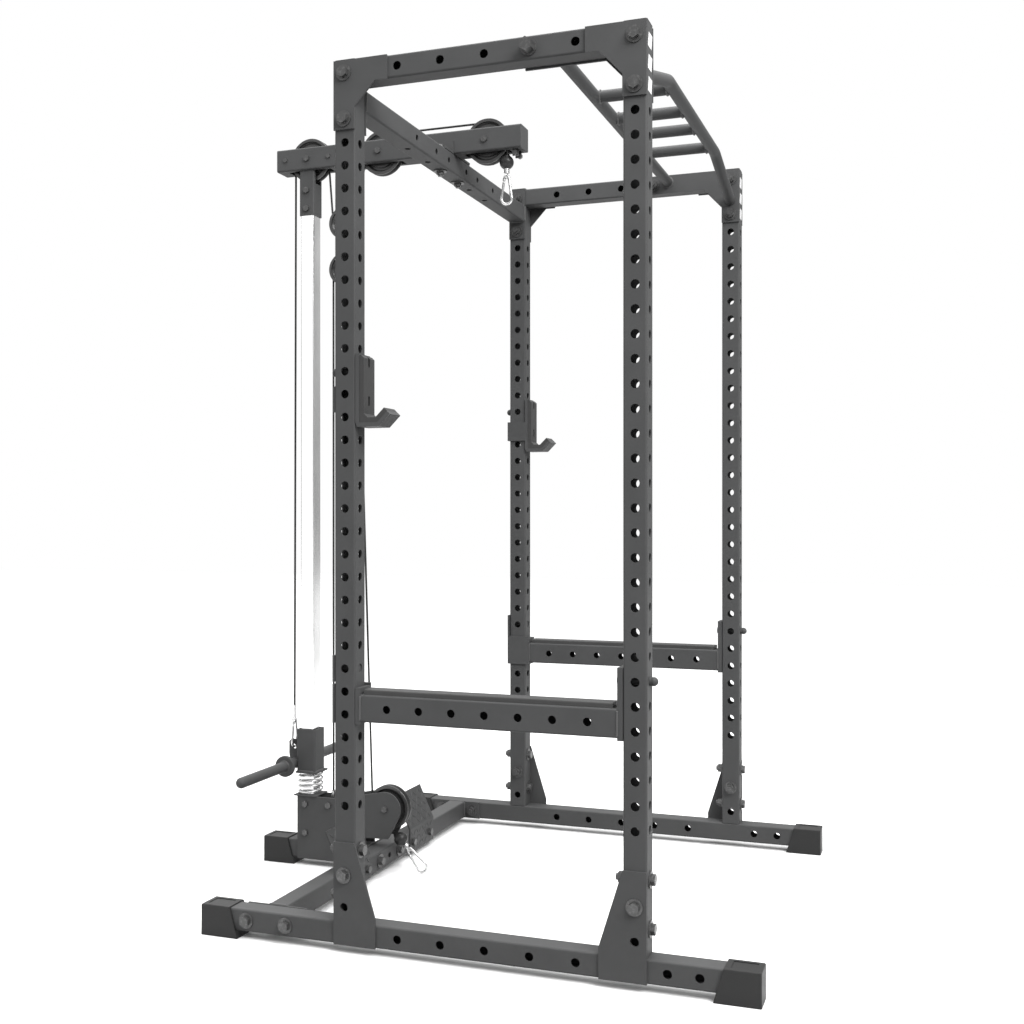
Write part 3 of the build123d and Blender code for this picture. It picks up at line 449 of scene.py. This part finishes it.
def cable_runs():
    """Every straight run, replacing the solids that stand in its place."""
    crimp = (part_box("cable_carriage_run")[1][1] - CABLE_R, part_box("cable_carriage_run")[0][2])
    low_end, top_end = touch(crimp, 0.0, 1, hub("wheel_rear"), BIG_RUN, 1)
    stretching_run("carriage_cable", "cable_carriage_run", (top_end, low_end))
    lat_y = HUB["wheel_front"].y - BIG_RUN
    lat_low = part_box("cable_lat_run")[0][2]
    stretching_run("lat_cable", "cable_lat_run",
                   (Vector((0, lat_y, HUB["wheel_front"].z)), Vector((0, lat_y, lat_low))))
    a, b = touch(hub("wheel_rear"), BIG_RUN, 1, hub("wheel_float_high"), SMALL_RUN, -1)
    stretching_run("block_cable_rear", "cable_block_high_runs", (a, b))
    a, b = touch(hub("wheel_float_high"), SMALL_RUN, -1, hub("wheel_middle"), BIG_RUN, 1)
    stretching_run("block_cable_front", "cable_block_high_runs", (b, a))
    anchor = (middle("cable_anchor").y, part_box("cable_anchor")[1][2])
    a, b = touch(anchor, 0.0, 1, hub("wheel_float_low"), SMALL_RUN, 1)
    stretching_run("anchor_cable", "cable_block_low_runs", (a, b))
    a, b = touch(hub("wheel_float_low"), SMALL_RUN, 1, hub("wheel_low"), BIG_RUN, -1)
    stretching_run("tower_cable", "cable_block_low_runs", (b, a))
    a, b = touch(hub("wheel_low"), BIG_RUN, -1, (0.320, 0.088), 0.0, -1)
    b = a.lerp(b, 1 - 0.023 / (b - a).length)
    stretching_run("row_cable", "cable_row_run", (a, b), kept=0.025)


cable_runs()


# ---- weld beads -----------------------------------------------------------------------
BEAD = 0.0022


def bead_line(shape, start, end):
    tube_along(shape, spread(start, end, 0.0022), BEAD, 8, wobble=0.22)


def bead_square(shape, centre, axis, half=HALF, inset=0.0035):
    """Bead round a square tube that meets a plate; axis is the tube's own axis."""
    u, v = [k for k in range(3) if k != axis]
    reach = half - inset
    for first, second in ((u, v), (v, u)):
        for sign in (-1, 1):
            start, end = centre.copy(), centre.copy()
            start[first] += sign * half
            end[first] += sign * half
            start[second] -= reach
            end[second] += reach
            bead_line(shape, start, end)


def bead_ring(shape, centre, axis, radius):
    tube_along(shape, ring_points(centre, axis, radius, 0.0022), BEAD, 8, closed=True, wobble=0.22)


def frame_welds():
    shape = bmesh.new()
    end = INNER_X - PLATE
    crossmember_z = TOP_Z - TUBE - HALF
    grip_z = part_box("multi_grip_bar")[1][2] - 0.0145
    grip_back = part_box("multi_grip_bar")[1][1] - 0.0145
    for sign in (-1, 1):
        bead_square(shape, Vector((sign * end, REAR_Y, crossmember_z)), 0)
        bead_square(shape, Vector((sign * end, CROSS_Y, RAIL_Z)), 0)
        bead_ring(shape, Vector((sign * end, grip_back, grip_z)), 0, 0.0145)
        for x in (0.071, 0.238):
            for y, step in ((FRONT_Y, 1), (grip_back, -1)):
                centre = Vector((sign * x, y + step * 0.0125, grip_z))
                bead_ring(shape, centre, 1, 0.0142)
    bead_square(shape, Vector((0, CROSS_Y + HALF + PLATE, RAIL_Z)), 1)
    return add_mesh("frame_welds", shape, bead_coat, "frame")


def carriage_welds():
    shape = bmesh.new()
    horn = middle("weight_horns")
    for sign in (-1, 1):
        for x in (0.0605, 0.0705):
            bead_ring(shape, Vector((sign * x, horn.y, horn.z)), 0, 0.0145)
        crook = Vector((0.026, COLUMN_Y + 0.0298, horn.z + sign * 0.0095))
        bead_line(shape, Vector((-crook.x, crook.y, crook.z)), crook)
    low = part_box("weight_carriage")[0][2] + PLATE
    bead_square(shape, Vector((0, COLUMN_Y, low)), 2, 0.028, 0.005)
    lug_z0, lug_z1 = 0.286, 0.334
    for sign in (-1, 1):
        y = COLUMN_Y + 0.028
        bead_line(shape, Vector((sign * 0.004, y, lug_z0)), Vector((sign * 0.004, y, lug_z1)))
    return add_mesh("carriage_welds", shape, bead_coat, "carriage")


def attachment_welds():
    for side, sign in (("left", -1), ("right", 1)):
        shape = bmesh.new()
        for y, step in ((FRONT_Y + HALF + 0.012, 1), (REAR_Y - HALF - 0.012, -1)):
            for x in (INNER_X, OUTER_X):
                start = Vector((sign * x, y, 0.509))
                bead_line(shape, start, start + Vector((0, 0, 0.052)))
        add_mesh("safety_bar_welds_" + side, shape, bead_coat, "safety_bar_" + side)


frame_welds()
carriage_welds()
attachment_welds()


# ---- wheel bearings ---------------------------------------------------------------------
def lathe(shape, profile, centre, sides=48):
    """Turns (radius, offset) points about the X axis through centre."""
    rings = []
    for radius, offset in profile:
        ring = []
        for k in range(sides):
            angle = 2 * math.pi * k / sides
            ring.append(shape.verts.new(centre + Vector((
                offset, radius * math.cos(angle), radius * math.sin(angle)))))
        rings.append(ring)
    for a, b in zip(rings, rings[1:] + rings[:1]):
        for k in range(sides):
            n = (k + 1) % sides
            shape.faces.new((a[k], a[n], b[n], b[k]))


def wheel_bearings():
    """Pressed bearing with a shield, proud of each face of a wheel's hub."""
    for name in WHEELS:
        shape = bmesh.new()
        for sign in (-1, 1):
            face = sign * 0.0111
            profile = [(0.0085, face - sign * 0.002), (0.0085, face), (0.0102, face + sign * 0.0002),
                       (0.0108, face - sign * 0.0006), (0.0136, face - sign * 0.0006),
                       (0.0142, face + sign * 0.0002), (0.0155, face), (0.0155, face - sign * 0.002)]
            lathe(shape, profile, HUB[name])
        bmesh.ops.recalc_face_normals(shape, faces=shape.faces)
        add_mesh(name + "_bearing", shape, galvanised, name)


wheel_bearings()


# ---- tread on the foot plates -------------------------------------------------------------
def tread_lug(shape, centre, along, normal):
    """One raised lozenge: long axis along, low dome on the plate."""
    across = normal.cross(along).normalized()
    long_half, wide_half, rise = 0.0115, 0.0036, 0.0012
    steps = 10
    rim, crown = [], []
    for k in range(steps):
        angle = 2 * math.pi * k / steps
        u = math.copysign(abs(math.cos(angle)) ** 1.25, math.cos(angle))
        v = math.sin(angle)
        base = centre + along * (long_half * u) + across * (wide_half * v)
        rim.append(shape.verts.new(base - normal * 0.0004))
        crown.append(shape.verts.new(centre + along * (long_half * 0.62 * u)
                                     + across * (wide_half * 0.5 * v) + normal * rise))
    for k in range(steps):
        n = (k + 1) % steps
        shape.faces.new((rim[k], rim[n], crown[n], crown[k]))
    shape.faces.new(crown)


def foot_plate_tread():
    """Diamond tread: lozenges in rows, turned alternately, on both leaves of each plate."""
    low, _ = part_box("foot_plates")
    shape = bmesh.new()
    bend_z, top_z = 0.078, 0.169
    lean = 0.042
    slope = Vector((0, lean, top_z - bend_z)).normalized()
    normal = Vector((0, -slope.z, slope.y))
    front = low[1]
    pitch = 0.0185
    for sign in (-1, 1):
        for row in range(9):
            for column in range(8):
                x = sign * (0.1385 + pitch * column)
                d = 0.010 + pitch * row
                turn = 1 if (row + column) % 2 else -1
                if d < 0.050:
                    centre = Vector((x, front, 0.018 + d))
                    up, out = Vector((0, 0, 1)), Vector((0, -1, 0))
                    near_bolt = min(abs(abs(x) - 0.142), abs(abs(x) - 0.257)) < 0.015
                    if near_bolt and abs(centre.z - RAIL_Z) < 0.017:
                        continue
                else:
                    along_slope = d - 0.055
                    if along_slope > 0.091 or along_slope < 0.008:
                        continue
                    centre = Vector((x, front, bend_z + 0.0009)) + slope * along_slope
                    up, out = slope, normal
                along = (up + turn * Vector((1, 0, 0))).normalized()
                tread_lug(shape, centre, along, out)
    bmesh.ops.recalc_face_normals(shape, faces=shape.faces)
    return add_mesh("foot_plate_tread", shape, tread_coat, "frame", smooth=False)


foot_plate_tread()


# ---- blank badge strips at the top of the front uprights -------------------------------------
def rounded_outline(width, height, radius, steps=5):
    points = []
    for cx, cz, start in ((1, 1, 0), (-1, 1, 90), (-1, -1, 180), (1, -1, 270)):
        for i in range(steps + 1):
            angle = math.radians(start + 90 * i / steps)
            points.append((cx * (width / 2 - radius) + radius * math.cos(angle),
                           cz * (height / 2 - radius) + radius * math.sin(angle)))
    return points


def badge(name, x, z, width, height, skew):
    """A thin painted block on the front face, leaning by skew."""
    shape = bmesh.new()
    front = FRONT_Y - HALF
    lower, upper = [], []
    for u, w in rounded_outline(width, height, 0.0012):
        px, pz = x + u + skew * w, z + w
        lower.append(shape.verts.new((px, front - 0.00002, pz)))
        upper.append(shape.verts.new((px, front - 0.0004, pz)))
    count = len(lower)
    for i in range(count):
        n = (i + 1) % count
        shape.faces.new((lower[i], lower[n], upper[n], upper[i]))
    shape.faces.new(upper)
    bmesh.ops.recalc_face_normals(shape, faces=shape.faces)
    add_mesh(name, shape, badge_paint, "frame", smooth=False)


for side, sign in (("left", -1), ("right", 1)):
    for i in range(3):
        badge("badge_%s_%d" % (side, i), sign * SIDE_X, TOP_Z - 0.035 - 0.045 * i, 0.030, 0.030, 0.22)


# ---- floor, light and camera -----------------------------------------------------------------
def studio():
    size = 14.0
    shape = bmesh.new()
    corners = [(-size, -size), (size, -size), (size, size), (-size, size)]
    shape.faces.new([shape.verts.new((x, y, -0.0005)) for x, y in corners])
    floor = Finish("studio_floor", Roughness=0.9)
    floor.shader.inputs["Specular IOR Level"].default_value = 0.0
    speckle = floor.noise(3.0, 2.0)
    floor.feed("Base Color", floor.blend(speckle, grey(0.90), grey(0.92)))
    sheet = add_mesh("studio_sheet", shape, floor.material, None, smooth=False)
    sheet.visible_diffuse = False

    world = bpy.data.worlds.new("studio")
    world.use_nodes = True
    tree = world.node_tree
    backdrop = tree.nodes["Background"]
    backdrop.inputs["Color"].default_value = (1, 1, 1, 1)
    direction = tree.nodes.new("ShaderNodeTexCoord")
    split = tree.nodes.new("ShaderNodeSeparateXYZ")
    fade = tree.nodes.new("ShaderNodeMapRange")
    for socket, value in (("From Min", -0.15), ("From Max", 1.0), ("To Min", 0.28), ("To Max", 1.55)):
        fade.inputs[socket].default_value = value
    seen = tree.nodes.new("ShaderNodeLightPath")
    pick = tree.nodes.new("ShaderNodeMix")
    pick.inputs["B"].default_value = 1.0
    tree.links.new(direction.outputs["Generated"], split.inputs["Vector"])
    tree.links.new(split.outputs["Z"], fade.inputs["Value"])
    tree.links.new(seen.outputs["Is Camera Ray"], pick.inputs["Factor"])
    tree.links.new(fade.outputs["Result"], pick.inputs["A"])
    tree.links.new(pick.outputs["Result"], backdrop.inputs["Strength"])
    bpy.context.scene.world = world

    def softbox(name, place, aim, wide, tall, watts):
        lamp = bpy.data.lights.new(name, "AREA")
        lamp.shape = "RECTANGLE"
        lamp.size, lamp.size_y = wide, tall
        lamp.energy = watts
        holder = bpy.data.objects.new(name, lamp)
        holder.location = place
        holder.rotation_euler = (Vector(aim) - Vector(place)).to_track_quat("-Z", "Y").to_euler()
        bpy.context.scene.collection.objects.link(holder)

    softbox("key", (-2.6, -3.2, 4.2), (0, 0, 1.0), 2.6, 2.6, 270)
    softbox("rim", (3.0, 3.4, 3.6), (0, 0, 1.2), 2.2, 2.2, 60)
    softbox("top", (0.0, 0.0, 5.2), (0, 0, 0.5), 3.2, 3.2, 170)
    softbox("side", (-4.2, 2.9, 1.7), (0, 0.6, 1.0), 2.0, 3.2, 19)

    scene = bpy.context.scene
    scene.view_settings.view_transform = "Standard"
    scene.view_settings.look = "None"
    scene.view_settings.exposure = 0.0
    scene.view_settings.gamma = 1.0


def camera():
    lens = bpy.data.cameras.new("view")
    lens.sensor_width = 36.0
    lens.lens = 43.17
    lens.shift_y = 0.0015
    lens.clip_end = 60.0
    holder = bpy.data.objects.new("view", lens)
    eye = Vector((-2.996, -1.0665, 0.959))
    ahead = Vector((0.9417, 0.3366, 0.0))
    holder.location = eye
    holder.rotation_euler = ahead.to_track_quat("-Z", "Y").to_euler()
    bpy.context.scene.collection.objects.link(holder)
    bpy.context.scene.camera = holder


studio()
camera()
